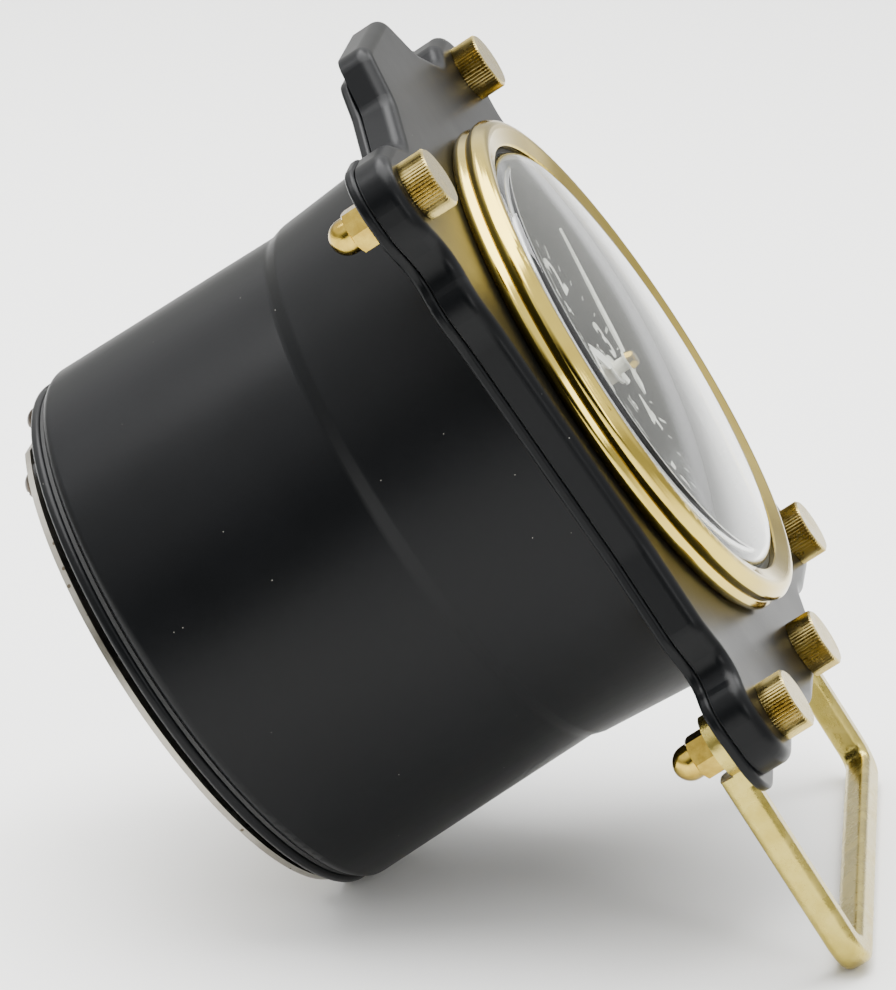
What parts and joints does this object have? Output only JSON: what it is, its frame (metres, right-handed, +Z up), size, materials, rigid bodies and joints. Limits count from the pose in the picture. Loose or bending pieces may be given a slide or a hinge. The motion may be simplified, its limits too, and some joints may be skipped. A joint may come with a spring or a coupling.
{
  "type": "ships deck clock",
  "caption": "Marine deck clock: black drum case, lobed front plate, brass bezel with domed glass, thumb nuts, and a square-bar brass handle that props it face-up.",
  "frame": {"origin": "centre of the footprint, on the table that the clock rests on", "axes": "+Z up, +X towards 3 o'clock, -Y is the side that the leaned-back dial looks out over"},
  "size_m": [0.1714, 0.2076, 0.2096],
  "materials": {
    "black_enamel": "satin-gloss black stoving enamel",
    "polished_brass": "turned and polished",
    "satin_brass": "cast bar, tumbled, thin lacquer",
    "knurled_brass": "turned, straight knurl, satin faces",
    "dial_black": "gloss black with white print",
    "hand_white": "white enamel",
    "lens_glass": "clear domed",
    "black_rubber": "moulded",
    "bare_steel": "sheet, lightly tarnished",
    "dark_screw": "bronzed steel",
    "movement_plastic": "moulded ABS",
    "acetal_white": "moulded acetal",
    "zinc_plate": "rolled sheet",
    "copper_winding": "enamelled copper wire",
    "green_board": "solder resist",
    "cell_steel": "nickel plated"
  },
  "bodies": {
    "case": {"acorn_nuts": "polished_brass", "battery": "cell_steel", "battery_contacts": "cell_steel", "bezel_base_ring": "polished_brass", "bezel_ring": "polished_brass", "case_drum": "black_enamel", "case_flange": "black_enamel", "circuit_board": "green_board", "coil": "copper_winding", "coil_core": "cell_steel", "dial": "dial_black", "dial_clamp_ring": "zinc_plate", "dial_plate": "zinc_plate", "dial_plate_screws": "cell_steel", "front_plate": "black_enamel", "glass_lens": "lens_glass", "handle_stand": "satin_brass", "lens_gasket": "black_rubber", "movement_front_cover": "movement_plastic", "movement_nut": "polished_brass", "movement_rear_cover": "movement_plastic", "movement_washer": "cell_steel", "plate_gasket": "black_rubber", "plate_screws": "dark_screw", "plate_spacers": "black_rubber", "rear_cover": "black_enamel", "rear_cover_screws": "dark_screw", "rear_gasket": "black_rubber", "rear_steel_plate": "bare_steel", "reflector_ring": "dial_black", "rotor": "cell_steel", "stator": "cell_steel", "stud_washers": "polished_brass", "studs": "knurled_brass"},
    "minute_hand_body": {"minute_hand": "hand_white", "hand_cap_nut": "polished_brass", "centre_wheel": "acetal_white"},
    "hour_hand_body": {"hour_hand": "hand_white", "hour_wheel": "acetal_white"},
    "motion_work": {"minute_wheel": "acetal_white", "setting_knob": "movement_plastic"},
    "third_wheel_body": {"third_wheel": "acetal_white"},
    "second_wheel_body": {"second_wheel": "acetal_white"},
    "nut_top_left": {"thumb_nut_top_left": "knurled_brass"},
    "nut_top_right": {"thumb_nut_top_right": "knurled_brass"},
    "nut_bottom_left": {"thumb_nut_bottom_left": "knurled_brass"},
    "nut_bottom_right": {"thumb_nut_bottom_right": "knurled_brass"},
    "nut_bottom_centre": {"thumb_nut_bottom_centre": "knurled_brass"}
  },
  "joints": [
    {"name": "minute_hand_turn", "type": "hinge", "parent": "case", "child": "minute_hand_body", "pos_m": [0, -0.03781, 0.12715], "axis": [0, -0.8281, 0.5606], "continuous": true},
    {"name": "hour_hand_turn", "type": "hinge", "parent": "case", "child": "hour_hand_body", "pos_m": [0, -0.03781, 0.12715], "axis": [0, -0.8281, 0.5606], "continuous": true},
    {"name": "motion_work_turn", "type": "hinge", "parent": "case", "child": "motion_work", "pos_m": [0.012, -0.02787, 0.12042], "axis": [0, -0.8281, 0.5606], "continuous": true},
    {"name": "third_wheel_turn", "type": "hinge", "parent": "case", "child": "third_wheel_body", "pos_m": [0, -0.03322, 0.10895], "axis": [0, -0.8281, 0.5606], "continuous": true},
    {"name": "second_wheel_turn", "type": "hinge", "parent": "case", "child": "second_wheel_body", "pos_m": [-0.0096, -0.03157, 0.10783], "axis": [0, -0.8281, 0.5606], "continuous": true},
    {"name": "thumb_nut_top_left_turn", "type": "hinge", "parent": "case", "child": "nut_top_left", "pos_m": [-0.0667, -0.0001, 0.18821], "axis": [0, -0.8281, 0.5606], "continuous": true},
    {"name": "thumb_nut_top_right_turn", "type": "hinge", "parent": "case", "child": "nut_top_right", "pos_m": [0.0667, -0.0001, 0.18821], "axis": [0, -0.8281, 0.5606], "continuous": true},
    {"name": "thumb_nut_bottom_left_turn", "type": "hinge", "parent": "case", "child": "nut_bottom_left", "pos_m": [-0.0695, -0.08234, 0.06672], "axis": [0, -0.8281, 0.5606], "continuous": true},
    {"name": "thumb_nut_bottom_right_turn", "type": "hinge", "parent": "case", "child": "nut_bottom_right", "pos_m": [0.0695, -0.08234, 0.06672], "axis": [0, -0.8281, 0.5606], "continuous": true},
    {"name": "thumb_nut_bottom_centre_turn", "type": "hinge", "parent": "case", "child": "nut_bottom_centre", "pos_m": [0, -0.08738, 0.05927], "axis": [0, -0.8281, 0.5606], "continuous": true}
  ],
  "couplings": [
    {"joint": "hour_hand_turn", "follows": "minute_hand_turn", "ratio": 0.083333},
    {"joint": "motion_work_turn", "follows": "minute_hand_turn", "ratio": -0.33333},
    {"joint": "third_wheel_turn", "follows": "minute_hand_turn", "ratio": -4},
    {"joint": "second_wheel_turn", "follows": "minute_hand_turn", "ratio": 20}
  ]
}
